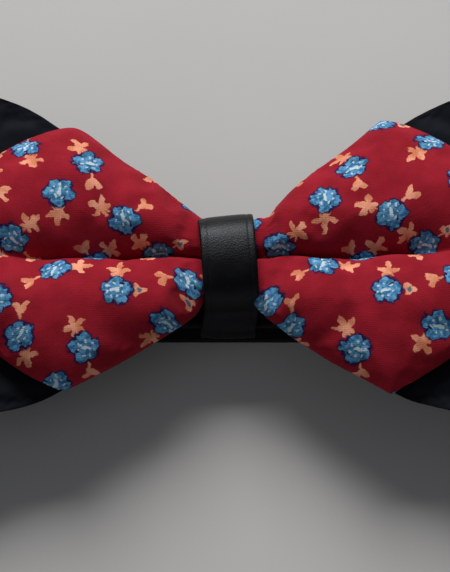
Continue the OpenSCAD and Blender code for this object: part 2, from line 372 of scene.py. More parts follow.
def sprout_shapes(g, place, sprouts, rag):
    """Stems that fork into two blades."""
    x, y, _ = g.split(nearest(g, place, sprouts)[0])
    side = g.math("ABSOLUTE", y)
    along = g.math("MULTIPLY_ADD", side, 0.65, g.math("MULTIPLY", x, 0.76))
    fork = g.math("MULTIPLY_ADD", side, 0.76, g.math("MULTIPLY", x, -0.65))
    width = g.math("MULTIPLY_ADD", rag, 0.9, 1.25)
    blades = capsule(g, g.math("SUBTRACT", along, 0.75), fork, 1.2, width)
    return g.math("MAXIMUM", below(g, blades, 0.0), stalk(g, x, y, 1.3, 0.5))


def bud_shapes(g, place, buds, rag):
    """Small buds on stalks, and the hearts in their middles."""
    bud, length = nearest(g, place, buds)
    x, y, _ = g.split(bud)
    cup = g.math("MULTIPLY_ADD", spokes(g, g.math("ARCTAN2", y, x), BUD_LOBES, 3), 0.7, 0.8)
    cup = below(g, length, g.math("MULTIPLY_ADD", rag, 0.6, cup))
    heart = g.math("MULTIPLY", below(g, length, 0.5, 0.3), 0.9)
    return g.math("MAXIMUM", cup, stalk(g, x, y, 1.8, 0.35)), heart


def stamen_shapes(g, x, y, angle, length, rag):
    """A pale stroke in a flower's middle, with a ring of dots round it."""
    stroke = below(g, capsule(g, x, g.math("MULTIPLY_ADD", rag, 0.7, y), 1.3, 0.62), 0.0)
    turn = g.math("MULTIPLY", angle, STAMENS / (2 * math.pi))
    side = g.math("MULTIPLY", g.math("SUBTRACT", g.math("FRACT", turn), 0.5), 1.1)
    out = g.math("SUBTRACT", length, g.math("MULTIPLY_ADD", rag, 0.8, 1.25))
    square = g.math("ADD", g.math("MULTIPLY", side, side), g.math("MULTIPLY", out, out))
    dots = below(g, g.math("SQRT", square), 0.22, 0.16)
    return g.math("MAXIMUM", stroke, g.math("MULTIPLY", dots, 0.9))


def petal_blue(g, place):
    """Blue that varies, with patches of teal."""
    blue = g.mix(*BLUES, g.ramp(g.noise(place, 1.1, 1), 0.35, 0.65))
    teal = g.math("MULTIPLY", g.ramp(g.noise(place, 0.8, 1), 0.52, 0.68), 0.6)
    return g.mix(blue, TEAL, teal)


def add_flowers(g, colour, place, flowers, rag):
    """The colour with blue flowers on it, each with a dark outline, a dark spot and pale stamens."""
    flower, length = nearest(g, place, flowers)
    length = g.math("MULTIPLY", length, FLOWER_SCALE)
    x, y, _ = g.split(flower)
    angle = g.math("ARCTAN2", y, x)
    lopsided = g.math("MULTIPLY_ADD", g.math("COSINE", angle), 0.16, 1.0)
    petals = g.math("MULTIPLY_ADD", spokes(g, angle, PETALS, 0.5), 0.95, 1.5)
    petals = g.math("MULTIPLY", g.math("MULTIPLY_ADD", rag, 0.9, petals), lopsided)
    rim = g.math("MULTIPLY_ADD", spokes(g, angle, PETALS, 0.35), 0.7, 2.05)
    rim = g.math("MULTIPLY", g.math("MULTIPLY_ADD", rag, 0.7, rim), lopsided)
    colour = g.mix(colour, OUTLINE, below(g, length, rim, 0.5))
    colour = g.mix(colour, petal_blue(g, place), below(g, length, petals))
    spot = g.vector("MULTIPLY", g.vector("SUBTRACT", flower, (1.5, 0.95, 0)), (1, 1.8, 1))
    colour = g.mix(colour, SPOT, below(g, g.vector("LENGTH", spot), 0.46))
    return g.mix(colour, WHITE, stamen_shapes(g, x, y, angle, length, rag))


def floral_print(g, place, ground):
    """The ground colour with peach leaves, sprouts and buds on it, and blue flowers over them."""
    wobble = g.vector("SUBTRACT", g.noise(place, 0.75, 2, colour=True), (0.5, 0.5, 0.5))
    place = g.vector("ADD", place, g.scale(wobble, 1.3))
    flowers, leaves, sprouts, buds = print_layout()
    tone = g.noise(place, 0.35)
    rag = g.math("SUBTRACT", g.noise(place, 1.2, 0), 0.5)  # makes the printed edges ragged
    peach = g.mix(*PEACHES, g.ramp(tone, 0.35, 0.65))
    colour = g.mix(ground, peach, leaf_shapes(g, place, leaves, rag))
    colour = g.mix(colour, peach, sprout_shapes(g, place, sprouts, rag))
    bud, heart = bud_shapes(g, place, buds, rag)
    colour = g.mix(colour, peach, bud)
    colour = g.mix(colour, g.mix(*BUD_BLUES, g.ramp(tone, 0.45, 0.55)), heart)
    return add_flowers(g, colour, place, flowers, rag)


# ---- materials


def printed_cotton():
    """Red cotton with the print on it, woven at 0.34 mm and a little fuzzy."""
    g = Graph("printed_cotton")
    place = g.cloth_mm()
    mottle = g.ramp(g.noise(place, 0.22, 3), 0.3, 0.7)
    ground = g.mix((0.275, 0.0075, 0.018, 1), (0.34, 0.0105, 0.025, 1), mottle)
    colour = floral_print(g, place, ground)
    thread = weave(g, place, 0.34)
    fuzz = g.noise(place, 3.2, 4, 0.75)
    shade = g.math("MULTIPLY_ADD", thread, 0.24, 0.82)
    shade = g.math("MULTIPLY", shade, g.math("MULTIPLY_ADD", fuzz, 0.62, 0.69))
    creased = g.bump(g.noise(place, 0.35, 3, 0.6), 0.25, 0.5)
    surface = g.bump(g.math("ADD", thread, g.math("MULTIPLY", fuzz, 0.8)), 0.05, 0.7, creased)
    return g.finish(Base_Color=g.darken(colour, shade), Normal=surface,
                    Roughness=g.math("MULTIPLY_ADD", fuzz, 0.12, 0.8), Specular_IOR_Level=0.1,
                    Sheen_Weight=0.06, Sheen_Roughness=0.5, Sheen_Tint=(0.9, 0.5, 0.55, 1))


def black_cloth():
    """Fine black cloth, woven at 0.26 mm, with soft creases."""
    g = Graph("black_cloth")
    place = g.cloth_mm()
    thread = weave(g, place, 0.26)
    patch = g.noise(place, 0.15, 3)
    colour = g.mix((0.0045, 0.0054, 0.0085, 1), (0.0070, 0.0082, 0.0125, 1), g.ramp(patch, 0.3, 0.7))
    colour = g.mix(colour, (0.011, 0.0125, 0.018, 1), g.math("MULTIPLY", thread, 0.35))
    creased = g.bump(g.noise(place, 0.16, 2, 0.5), 0.4, 0.4)
    return g.finish(Base_Color=colour, Normal=g.bump(thread, 0.03, 0.6, creased),
                    Roughness=g.math("MULTIPLY_ADD", patch, 0.12, 0.58), Specular_IOR_Level=0.04,
                    Sheen_Weight=0.004, Sheen_Roughness=0.4)


def black_leather():
    """Black leather with a pebbled grain, smoother where it is worn."""
    g = Graph("black_leather")
    place = g.object_mm()
    warped = g.vector("ADD", place, g.scale(g.noise(place, 1.4, 2, colour=True), 0.35))
    cells = g.add("ShaderNodeTexVoronoi", feature="DISTANCE_TO_EDGE")
    g.put(warped, cells.inputs["Vector"])
    cells.inputs["Scale"].default_value = 1.9
    pebble = g.ramp(cells.outputs["Distance"], 0.0, 0.32)
    fine = g.noise(place, 6.0, 3)
    worn = g.noise(place, 0.35, 3)
    colour = g.mix((0.0025, 0.0025, 0.0030, 1), (0.0055, 0.0055, 0.0060, 1), g.ramp(worn, 0.35, 0.7))
    height = g.math("ADD", pebble, g.math("MULTIPLY", fine, 0.25))
    roughness = g.math("MULTIPLY_ADD", worn, 0.12, g.math("MULTIPLY_ADD", pebble, -0.06, 0.36))
    return g.finish(Base_Color=colour, Normal=g.bump(height, 0.03, 0.55), Roughness=roughness,
                    Specular_IOR_Level=0.165, Specular_Tint=(0.84, 0.91, 1, 1))


def band_cloth():
    """The strap's black twill, with ribs 0.55 mm apart."""
    g = Graph("band_cloth")
    place = g.cloth_mm()
    rib = twill(g, place, 0.55)
    patch = g.noise(place, 0.2, 3)
    colour = g.mix((0.004, 0.004, 0.005, 1), (0.011, 0.011, 0.013, 1), rib)
    faded = g.math("MULTIPLY", g.ramp(patch, 0.4, 0.8), 0.4)
    return g.finish(Base_Color=g.mix(colour, (0.015, 0.015, 0.018, 1), faded),
                    Normal=g.bump(rib, 0.06, 0.8), Roughness=g.math("MULTIPLY_ADD", patch, 0.15, 0.6),
                    Specular_IOR_Level=0.18, Sheen_Weight=0.03, Sheen_Roughness=0.45)


def felted_interfacing():
    """Off-white matted fibres."""
    g = Graph("interfacing")
    fibres = g.noise(g.object_mm(), 2.5, 5, 0.75)
    colour = g.mix((0.62, 0.61, 0.57, 1), (0.78, 0.77, 0.73, 1), g.ramp(fibres, 0.3, 0.7))
    return g.finish(Base_Color=colour, Normal=g.bump(fibres, 0.08, 0.8),
                    Roughness=g.math("MULTIPLY_ADD", fibres, 0.1, 0.85))


def sewing_thread():
    """Black thread, with the bands of its twist."""
    g = Graph("thread")
    x, y, z = g.split(g.object_mm())
    twist = g.math("SINE", g.math("MULTIPLY", g.math("ADD", g.math("ADD", x, y), z), 14.0))
    twist = g.math("MULTIPLY_ADD", twist, 0.5, 0.5)
    colour = g.mix((0.012, 0.012, 0.014, 1), (0.045, 0.045, 0.05, 1), twist)
    return g.finish(Base_Color=colour, Normal=g.bump(twist, 0.05, 0.7),
                    Roughness=g.math("MULTIPLY_ADD", twist, -0.15, 0.65), Sheen_Weight=0.1)


def nickel():
    """Brushed nickel plating, a little duller where it is handled."""
    g = Graph("nickel")
    place = g.object_mm()
    handled = g.noise(place, 0.25, 3, 0.5)
    brushed = g.noise(g.vector("MULTIPLY", place, (0.3, 5.0, 5.0)), 2.0, 3)
    colour = g.mix((0.68, 0.68, 0.685, 1), (0.76, 0.755, 0.745, 1), g.ramp(handled, 0.3, 0.7))
    return g.finish(Base_Color=colour, Normal=g.bump(brushed, 0.004, 0.3), Metallic=1.0,
                    Roughness=g.ramp(handled, 0.25, 0.8, 0.24, 0.34))


PRINTED = printed_cotton()
BLACK_CLOTH = black_cloth()
LEATHER = black_leather()
BAND = band_cloth()
INTERFACING = felted_interfacing()
THREAD = sewing_thread()
NICKEL = nickel()

# ---- mesh helpers


def make_mesh(name, points, faces, uvs, material):
    """A smooth-shaded object. points in mm; uvs in mm of cloth, one per face corner."""
    mesh = bpy.data.meshes.new(name)
    mesh.from_pydata([tuple(p) for p in np.asarray(points) * MM], [], faces)
    layer = mesh.uv_layers.new(name=UV_LAYER)
    layer.data.foreach_set("uv", (np.asarray(uvs, float) * UV_PER_MM).ravel())
    mesh.materials.append(material)
    mesh.shade_smooth()
    mesh.validate()
    obj = bpy.data.objects.new(name, mesh)
    bpy.context.scene.collection.objects.link(obj)
    return obj


def grid_faces(columns, rows, wrap=False, flip=False):
    """Quads of a grid whose points are listed column by column."""
    faces = []
    for i in range(columns - 1):
        for j in range(rows if wrap else rows - 1):
            k = (j + 1) % rows
            face = (i * rows + j, (i + 1) * rows + j, (i + 1) * rows + k, i * rows + k)
            faces.append(face[::-1] if flip else face)
    return faces


def wavy(points, size, reach, seed):
    """Height of soft random waves at points, in mm."""
    shift = Vector((seed * 17.3, seed * 5.1, seed * 9.7))
    return np.array([noise.noise(Vector(p) / reach + shift) for p in points]) * size


def apply_modifiers(obj):
    """Replaces the object's mesh by what its modifiers make of it."""
    evaluated = obj.evaluated_get(bpy.context.evaluated_depsgraph_get())
    mesh = bpy.data.meshes.new_from_object(evaluated)
    obj.modifiers.clear()
    obj.data = mesh


# ---- bows

KNOT_EDGE = 5.2  # where the wings leave the knot
PINCH_HALF = node_box("gather_thread")[1][1] - 0.8  # half height of the gathered cloth
PINCH_SIDE = 3.6  # distance out where the gathered cloth begins to spread
WING_RISE = 6.8  # how far the tips stand forward of the wings' beginning
EDGE_CURL = (1.8, 2.0)  # forward curl of the back bow's long edges, and more outwards
STATIONS = 220
STRIPS = 96
FINE_STATIONS = 1200  # where an outline is worked out before it is read at the grid's stations
CLOTH_T = 0.4
FILLING_T = 0.25
FILLING_SHARE = 0.88  # size of the filling, as a share of the bow's
SIM_SCALE = 0.01  # the cloth is settled at ten times its size, where the solver's stiffness suits it
SIM_FRAMES = 20
SIM_CAP = 0.9  # mm that settling may move any point
RIM_SEEDS = (40, 50)  # of the waves of the edges, the same in a face and its lining so that they meet


class Bow:
    """Shape of one bow, in terms of s, the distance out from the middle, and v, which runs from -1 at
    the lower edge through 0 at the crease to 1 at the upper edge. side is -1 for the left wing."""

    end_bulge = 0.0  # how far the corners of an end stand in from its middle

    def __init__(self, tip, seam_pinch, seam_wing):
        self.tip = tip
        self.seam_pinch = seam_pinch
        self.seam_wing = seam_wing

    def seam(self, s, v):
        """Height of the edge seams: low under the knot, and rising towards the tips."""
        near = (self.seam_wing - self.seam_pinch) * smooth((s - KNOT_EDGE) / 6.8)
        return self.seam_pinch + near + WING_RISE * smooth((s - 10) / (self.tip - 10))

    def middle_line(self, x, v):
        """How far the wing swings up towards the tip, and its crease down, on the left a bit more."""
        s = np.abs(x)
        swing = 0.45 * smooth((s - 3) / 3) - 0.9 * smooth((s - 8) / 14) - 0.7 * smooth((s - 29) / 9)
        swing = swing - 1.1 * smooth((-x - 22) / 12)
        return 0.5 * smooth((s - 24) / 18) + swing * (1 - v ** 2)


def gathered_half(s, spread):
    """Half height of the cloth under the knot, where it spreads towards the knot's sides."""
    return PINCH_HALF + spread * smooth((s - PINCH_SIDE) / (KNOT_EDGE - PINCH_SIDE))


def rounded(s, raw, reach):
    """raw as a function of s, with its corners rounded over that reach."""
    step = s[1] - s[0]
    count = max(1, int(round(reach / step)))
    window = np.hanning(2 * count + 3)
    padded = np.concatenate([np.full(count + 1, raw[0]), raw, np.full(count + 1, raw[-1])])
    return np.convolve(padded, window / window.sum(), mode="valid")


Quarter = namedtuple("Quarter", "start power corner height reach drop")


class FrontBow(Bow):
    # Each quarter's outline, by side and half: where it starts to rise, how straight the rise is,
    # the corner's distance out and height, how far the corner is rounded, and the drop beyond it
    QUARTERS = {(-1, 1): Quarter(5.2, 0.97, 28.2, 26.6, 4.0, 0.0),
                (1, 1): Quarter(7.6, 0.82, 28.6, 27.8, 1.6, 0.0),
                (-1, -1): Quarter(4.4, 0.82, 30.0, 27.5, 2.2, 0.5),
                (1, -1): Quarter(4.9, 0.84, 29.4, 27.7, 1.0, 1.2)}
    SPREAD = 1.5  # how far the cloth spreads between the gathering and the knot's side
    height = 7.4  # of the puff

    def half_height(self, side, half, s):
        """Distance from the middle line to the edge, at distances s out."""
        q = self.QUARTERS[side, half]
        fine = np.linspace(0, self.tip, FINE_STATIONS)
        low = PINCH_HALF + self.SPREAD
        rise = low + (q.height - low) * np.clip((fine - q.start) / (q.corner - q.start), 0, 1) ** q.power
        beyond = self.tip - q.corner
        fall = q.height * (1 - np.clip((fine - q.corner) / beyond, 0, 1) ** 1.65)
        fall = fall - q.drop * smooth((fine - q.corner) / 2.5) * (self.tip - fine) / beyond
        raw = np.where(fine < q.corner, rise, fall)
        raw = np.where(fine < KNOT_EDGE, gathered_half(fine, self.SPREAD), raw)
        far = smooth((fine - 14) / 6)
        shaped = rounded(fine, raw, q.reach) * far + rounded(fine, raw, 0.7) * (1 - far)
        return np.maximum(np.interp(s, fine, shaped), 0.12)

    def puff(self, s, v):
        """How far the face stands forward of the seam."""
        body = 0.5 + 0.5 * smooth((s - 4) / 10)
        end = np.clip(1 - (s / self.tip) ** 3.4, 0, 1) ** 0.62
        roll = 0.5 + 0.16 * smooth((s - 26) / 8)
        return self.height * body * end * np.clip(1 - np.abs(v) ** 2.5, 0, 1) ** roll

    def crease(self, s, y):
        """Share of the puff that is left near the crease: a sharp pleat in a wider valley."""
        upper = y > 0
        out = smooth((s - 8) / 14)
        far = smooth((s - 28) / 14)
        depth = 0.99 - 0.05 * smooth((s - 14) / 14) - 0.24 * smooth((s - 30) / 18)
        pleat_width = np.where(upper, 0.65 + 0.5 * out + 1.8 * far, 0.45 + 0.15 * out + 1.4 * far)
        valley_width = np.where(upper, 5.0 + 1.6 * out, 6.0)
        valley = np.where(upper, 0.28 + 0.12 * out, 0.46)
        pleat = (1 - valley) * np.exp(-np.abs(y) / pleat_width)
        return 1 - depth * (pleat + valley * np.exp(-(np.abs(y) / valley_width) ** 1.5))

    def under(self, s, v):
        """How far the lining bellies out below the seam."""
        body = 0.5 + 0.5 * smooth((s - 5) / 10)
        end = np.clip(1 - (s / self.tip) ** 4, 0, 1) ** 0.5
        return 1.2 * body * end * np.clip(1 - np.abs(v) ** 2.6, 0, 1) ** 0.5


class BackBow(Bow):
    SPREAD = 0.8
    end_bulge = 3.0

    def __init__(self, tip, top, seam_pinch, seam_wing):
        super().__init__(tip, seam_pinch, seam_wing)
        self.top = top

    def half_height(self, side, half, s):
        """Distance from the middle line to the edge, at distances s out."""
        fine = np.linspace(0, self.tip, FINE_STATIONS)
        corner = self.tip - 5
        low = PINCH_HALF + self.SPREAD
        rise = np.clip((fine - KNOT_EDGE) / (corner - KNOT_EDGE), 0, 1)
        rise = rise ** (1 - 0.15 * smooth((fine - 22) / 14))
        raw = low + (self.top - low) * np.sin(rise * math.pi / 2)
        if half < 0:
            raw = raw - 1.4 * smooth((fine - KNOT_EDGE) / 4) * (1 - smooth((fine - 24) / 10))
        raw = raw - 0.9 * smooth((fine - 24) / 10)
        raw = np.where(fine < KNOT_EDGE, gathered_half(fine, self.SPREAD), raw)
        raw = raw - 7 * np.clip((fine - corner) / (self.tip - corner), 0, 1) ** 4
        return np.interp(s, fine, raw)

    def seam(self, s, v):
        curl = EDGE_CURL[0] * smooth((s - KNOT_EDGE) / 14) + EDGE_CURL[1] * smooth((s - 28) / 16)
        return super().seam(s, v) + curl * np.abs(v) ** 4 * np.where(v > 0, 1, 0.5)

    def puff(self, s, v):
        """How far the face stands forward of the seam."""
        end = np.clip(1 - (s / self.tip) ** 9, 0, 1) ** 0.5
        return 1.2 * end * np.clip(1 - np.abs(v) ** 2.8, 0, 1) ** 0.5

    def crease(self, s, y):
        """Share of the puff that is left near the crease."""
        return 1 - (0.9 - 0.7 * smooth((s - 8) / 30)) * np.exp(-(np.abs(y) / (2 + s / 14)) ** 1.4)

    def under(self, s, v):
        body = 0.45 + 0.55 * smooth((s - 5) / 10)
        end = np.clip(1 - (s / self.tip) ** 8, 0, 1) ** 0.5
        return 2.0 * body * end * np.clip(1 - np.abs(v) ** 2.6, 0, 1) ** 0.5


def strip_places():
    """Places across a wing from -1 to 1, close together at the edges and the crease."""
    v = -np.cos(np.pi * np.arange(STRIPS + 1) / STRIPS)
    return np.sign(v) * np.abs(v) ** 1.2


def station_places(tip):
    """Distances along the bow, close together beside the knot and at the tips."""
    t = np.linspace(-1, 1, STATIONS + 1)
    return tip * np.sign(t) * (0.86 * np.abs(t) + 0.14 * np.abs(t) ** 0.5 * (1 - (1 - np.abs(t)) ** 3))


def bow_grid(bow, share):
    """Columns across the bow: s and v at each grid point, and x and y of the outline they fill."""
    v = strip_places() * share
    x = station_places(bow.tip * share)
    s = np.abs(x)
    y = np.zeros((len(x), len(v)))
    for side in (-1, 1):
        for half in (-1, 1):
            height = bow.half_height(side, half, s)
            here = (np.sign(x + 1e-9) == side)[:, None] & (np.sign(v + 1e-9) == half)[None, :]
            y = np.where(here, height[:, None] * v[None, :], y)
    s2, v2 = np.broadcast_arrays(s[:, None], v[None, :])
    return s2, v2, np.broadcast_to(x[:, None], y.shape), y


def between(values):
    """Values along the first axis with one more put smoothly between each two."""
    before = np.concatenate([values[:1], values[:-2]])
    after = np.concatenate([values[2:], values[-1:]])
    added = (9 * (values[:-1] + values[1:]) - before - after) / 16
    full = np.empty((2 * len(values) - 1,) + values.shape[1:])
    full[0::2], full[1::2] = values, added
    return full


def add_cloth(obj, pins):
    """Cloth on obj, cut a little large and puffed, and held by each point's pin from 0 to 1."""
    group = obj.vertex_groups.new(name="held")
    for index, weight in enumerate(pins.ravel()):
        group.add([index], float(weight), "REPLACE")
    cloth = obj.modifiers.new("cloth", "CLOTH")
    settings = cloth.settings
    settings.quality = 6
    settings.mass = 0.3
    settings.tension_stiffness = 20
    settings.compression_stiffness = 20
    settings.shear_stiffness = 8
    settings.bending_stiffness = 1.5
    settings.shrink_min = -0.012
    settings.use_pressure = True
    settings.uniform_pressure_force = 0.8
    settings.vertex_group_mass = "held"
    settings.effector_weights.gravity = 0
    cloth.point_cache.frame_start = 1
    cloth.point_cache.frame_end = SIM_FRAMES


def simulated(coarse, pins):
    """Where the points of a coarse grid, in mm, come to rest."""
    columns, rows = pins.shape
    mesh = bpy.data.meshes.new("settling")
    mesh.from_pydata([tuple(p) for p in coarse.reshape(-1, 3) * SIM_SCALE], [], grid_faces(columns, rows))
    obj = bpy.data.objects.new("settling", mesh)
    scene = bpy.context.scene
    scene.collection.objects.link(obj)
    add_cloth(obj, pins)
    for frame_number in range(1, SIM_FRAMES + 1):
        scene.frame_set(frame_number)
    result = obj.evaluated_get(bpy.context.evaluated_depsgraph_get()).to_mesh()
    moved = np.empty(3 * columns * rows)
    result.vertices.foreach_get("co", moved)
    obj.evaluated_get(bpy.context.evaluated_depsgraph_get()).to_mesh_clear()
    bpy.data.objects.remove(obj)
    bpy.data.meshes.remove(mesh)
    scene.frame_set(1)
    return moved.reshape(columns, rows, 3) / SIM_SCALE


def settled(grid, held):
    """The grid after its cloth, cut a little larger than its frame and puffed by the filling, has
    been let go between the points that are held. Every second point is simulated."""
    coarse = grid[::2, ::2]
    shift = simulated(coarse, held[::2, ::2]) - coarse
    length = np.linalg.norm(shift, axis=2, keepdims=True)
    shift *= np.minimum(1, SIM_CAP / np.maximum(length, 1e-6))
    return grid + between(np.swapaxes(between(np.swapaxes(shift, 0, 1)), 0, 1))


def cloth_sheet(name, grid, thickness, material, flip):
    """A piece of cloth from a grid of points, with its flat pattern as UVs: x, and the length of
    cloth from the crease."""
    columns, rows = grid.shape[:2]
    steps = np.linalg.norm(np.diff(grid[:, :, 1:], axis=1), axis=2)
    along = np.concatenate([np.zeros((columns, 1)), np.cumsum(steps, axis=1)], axis=1)
    along -= along[:, rows // 2][:, None]
    faces = grid_faces(columns, rows, flip=flip)
    order = np.array(faces).ravel()
    uvs = np.stack([grid[:, :, 0].ravel()[order], along.ravel()[order]], axis=1)
    obj = make_mesh(name, grid.reshape(-1, 3), faces, uvs, material)
    solid = obj.modifiers.new("thickness", "SOLIDIFY")
    solid.thickness = thickness * MM
    solid.offset = -1
    apply_modifiers(obj)
    return obj


def held_places(s, v):
    """How firmly a face's cloth is held at each point: fully at the knot, the edges and the crease."""
    knot_hold = 1 - smooth((s - KNOT_EDGE) / 3)
    edge_hold = smooth((np.abs(v) - 0.9) / 0.1)
    crease_hold = (np.abs(v) < 0.02) * (1 - smooth((s - 22) / 10))
    return np.maximum(np.maximum(knot_hold, edge_hold), crease_hold)


def bow_panel(name, bow, is_face, material, seed):
    """The face or the lining of a bow."""
    s, v, x, y = bow_grid(bow, 1)
    if is_face:
        fill = bow.puff(s, v) * bow.crease(s, y)
        z = bow.seam(s, v) + fill
    else:
        fill = bow.under(s, v)
        z = bow.seam(s, v) - fill
    bulge = bow.end_bulge * v ** 2 * (s / bow.tip) ** 6
    grid = np.stack([x - np.sign(x) * bulge, y + bow.middle_line(x, v), z], axis=-1)
    points = grid.reshape(-1, 3)
    shape = grid.shape[:2]
    free = smooth((s - KNOT_EDGE) / 6)
    waves = wavy(points, 0.9, 11.0, seed) + wavy(points, 0.35, 4.5, seed + 3)
    grid[:, :, 2] += waves.reshape(shape) * free * np.clip(fill / 3 - 0.15, 0, 1)
    rim = np.abs(v) ** 3 * free
    grid[:, :, 1] += wavy(points, 0.5, 9.0, RIM_SEEDS[0]).reshape(shape) * rim
    grid[:, :, 2] += wavy(points, 0.6, 16.0, RIM_SEEDS[1]).reshape(shape) * rim
    if is_face:
        grid = settled(grid, held_places(s, v))
    return cloth_sheet(name, grid, CLOTH_T, material, not is_face)


def bow_filling(name, bow):
    """The stiffening cloth between the face and the lining of a bow, a little smaller than they are."""
    s, v, x, y = bow_grid(bow, FILLING_SHARE)
    z = bow.seam(s, v) - 0.45 * bow.under(s, v)
    grid = np.stack([x, y + bow.middle_line(x, v), z + FILLING_T / 2], axis=-1)
    return cloth_sheet(name, grid, FILLING_T, INTERFACING, False)


back_low, back_high = node_box("back_bow_face")
front_lining_top = node_box("front_bow_lining")[1][2]
back_lining_top = node_box("back_bow_lining")[1][2]
front = FrontBow(bow_high[0], PINCH_Z, front_lining_top - WING_RISE)
back = BackBow(back_high[0], back_high[1], back_low[2], back_lining_top - WING_RISE - sum(EDGE_CURL))

front_face = bow_panel("front_bow_face_cloth", front, True, PRINTED, 1)
front_back = bow_panel("front_bow_lining_cloth", front, False, PRINTED, 2)
front_filling = bow_filling("front_bow_filling", front)
back_face = bow_panel("back_bow_face_cloth", back, True, BLACK_CLOTH, 5)
back_back = bow_panel("back_bow_lining_cloth", back, False, BLACK_CLOTH, 6)
back_filling = bow_filling("back_bow_filling", back)
for piece, node, slot in ((front_face, "front_bow_face", "printed_cotton"),
                          (front_back, "front_bow_lining", "printed_cotton"),
                          (front_filling, "front_bow_interfacing", "interfacing"),
                          (back_face, "back_bow_face", "black_cloth"),
                          (back_back, "back_bow_lining", "black_cloth"),
                          (back_filling, "back_bow_interfacing", "interfacing")):
    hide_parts(node)
    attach(piece, "bow")

# ---- knot

wrap_low, wrap_high = node_box("knot_wrap")
LEATHER_T = 1.0
LEATHER_DROP = 0.14  # how far the strip's surface falls towards its sides
KNOT_LEAN = 0.07  # sideways lean of the strip's front, per mm up the bow
KNOT_ROUND = 1.6  # radius of the bends in the strip's outline
LOOP_STEP = 0.3  # between points round that outline


def rounded_loop(corners, radius, step):
    """Points round a closed outline, with its corners rounded, a step apart."""
    dense = []
    count = len(corners)
    for i, corner in enumerate(corners):
        before, after = corners[i - 1], corners[(i + 1) % count]
        a = corner + (before - corner) * min(0.49, radius / np.linalg.norm(before - corner))
        b = corner + (after - corner) * min(0.49, radius / np.linalg.norm(after - corner))
        t = np.linspace(0, 1, 9)[:, None]
        dense.extend((1 - t) ** 2 * a + 2 * t * (1 - t) * corner + t ** 2 * b)
    dense = np.array(dense + [dense[0]])
    lengths = np.linalg.norm(np.diff(dense, axis=0), axis=1)
    along = np.concatenate([[0], np.cumsum(lengths)])
    places = np.linspace(0, along[-1], int(along[-1] / step))[:-1]
    return np.stack([np.interp(places, along, dense[:, k]) for k in (0, 1)], axis=1)


def knot_outline():
    """The strip's outer outline in the plane across the wings: (y, z)."""
    back_half, low, high = wrap_high[1], wrap_low[2], wrap_high[2]
    front_half = PINCH_HALF + 1.8
    waist = 12.0  # where the dome of the front begins
    side_top = 8.3
    dome = [(front_half * np.sign(math.cos(a)) * abs(math.cos(a)) ** 0.8,
             waist + (high - waist) * math.sin(a) ** 0.8)
            for a in np.linspace(0.001, math.pi - 0.001, 19)]
    side = [(back_half, low), (back_half, side_top)]
    return np.array(side + dome + [(-y, z) for y, z in side[::-1]])


def outward_normals(loop):
    """Unit vectors that point out of a closed outline."""
    ahead = np.roll(loop, -1, axis=0) - np.roll(loop, 1, axis=0)
    normal = np.stack([ahead[:, 1], -ahead[:, 0]], axis=1)
    normal /= np.linalg.norm(normal, axis=1, keepdims=True)
    points_in = np.sum(normal[:, 1] * (loop[:, 1] - loop[:, 1].mean())) < 0
    return -normal if points_in else normal


def leather_section():
    """The strip's section: (place across the strip, depth below its outer surface), with a pressed
    line along each edge and rounded sides."""
    side_round = LEATHER_T / 2 * 0.75
    flat_half = (wrap_high[0] - wrap_low[0]) / 2 - side_round
    middle = LEATHER_T / 2
    outer = [(t * flat_half, LEATHER_DROP * abs(t) ** 3 + 0.07 * math.exp(-((abs(t) - 0.83) / 0.04) ** 2))
             for t in np.linspace(-1, 1, 61)]
    side = [(flat_half + side_round * math.sin(a), middle - (middle - LEATHER_DROP) * math.cos(a))
            for a in np.linspace(0, math.pi, 9)[1:-1]]
    inner = [(t * flat_half, LEATHER_T) for t in np.linspace(1, -1, 9)]
    return np.array(outer + side + inner + [(-u, depth) for u, depth in side[::-1]])


def knot_mesh():
    """The leather strip, swept round its outline, and leaning and slanting a little in front."""
    loop = rounded_loop(knot_outline(), KNOT_ROUND, LOOP_STEP)
    section = leather_section()
    points = []
    for (y, z), (ny, nz) in zip(loop, outward_normals(loop)):
        forward = smooth((z - 7.5) / 6)
        for u, depth in section:
            slant = 0.055 * (1 + smooth(y / 6)) * u * forward
            points.append((u - KNOT_LEAN * y * forward, y - ny * depth + slant, z - nz * depth))
    rows = len(section)
    faces = [tuple(i % len(points) for i in face) for face in grid_faces(len(loop) + 1, rows, wrap=True)]
    uvs = [(section[i % rows][0], (i // rows) * LOOP_STEP) for face in faces for i in face]
    return make_mesh("knot_leather", points, faces, uvs, LEATHER)


knot = knot_mesh()
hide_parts("knot_wrap")
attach(knot, "bow")

# ---- neck band

front_run_high = node_box("band_front")[1]
back_run_low, back_run_high = node_box("band_back")
BAND_HALF = back_run_high[1]
BAND_T = back_run_high[2] - back_run_low[2]
UPPER_Z = front_run_high[2] - BAND_T / 2
LOWER_Z = BAND_T / 2
FOLD_R = (UPPER_Z - LOWER_Z) / 2
FOLD_X = node_box("band_left_fold")[1][0]
eye_low, eye_high = node_box("eye")
BAR_Z = (eye_low[2] + eye_high[2]) / 2
LOOP_R = UPPER_Z - BAR_Z
HOOK_BAR_X = front_run_high[0] - LOOP_R - BAND_T / 2
eye_loop_low, eye_loop_high = node_box("band_eye_loop")
EYE_BAR_X = eye_loop_low[0] + LOOP_R + BAND_T / 2
slider_loop_low, slider_loop_high = node_box("band_slider_loop")
RETURN_Z = slider_loop_high[2] - BAND_T / 2
SLIDER_R = (slider_loop_high[2] - slider_loop_low[2] - BAND_T) / 2
SLIDER_Z = RETURN_Z - SLIDER_R
SLIDER_X = slider_loop_low[0] + SLIDER_R + BAND_T / 2
SLIDER_TAIL = SLIDER_X + 6  # where the strap's end, folded back under the slider's bar, stops
SPLIT_X = 40.0  # on the lower run, where the part of the strap that moves with the eye begins
ROUTE_STEP = 1.5  # between the strap's stations, roughly


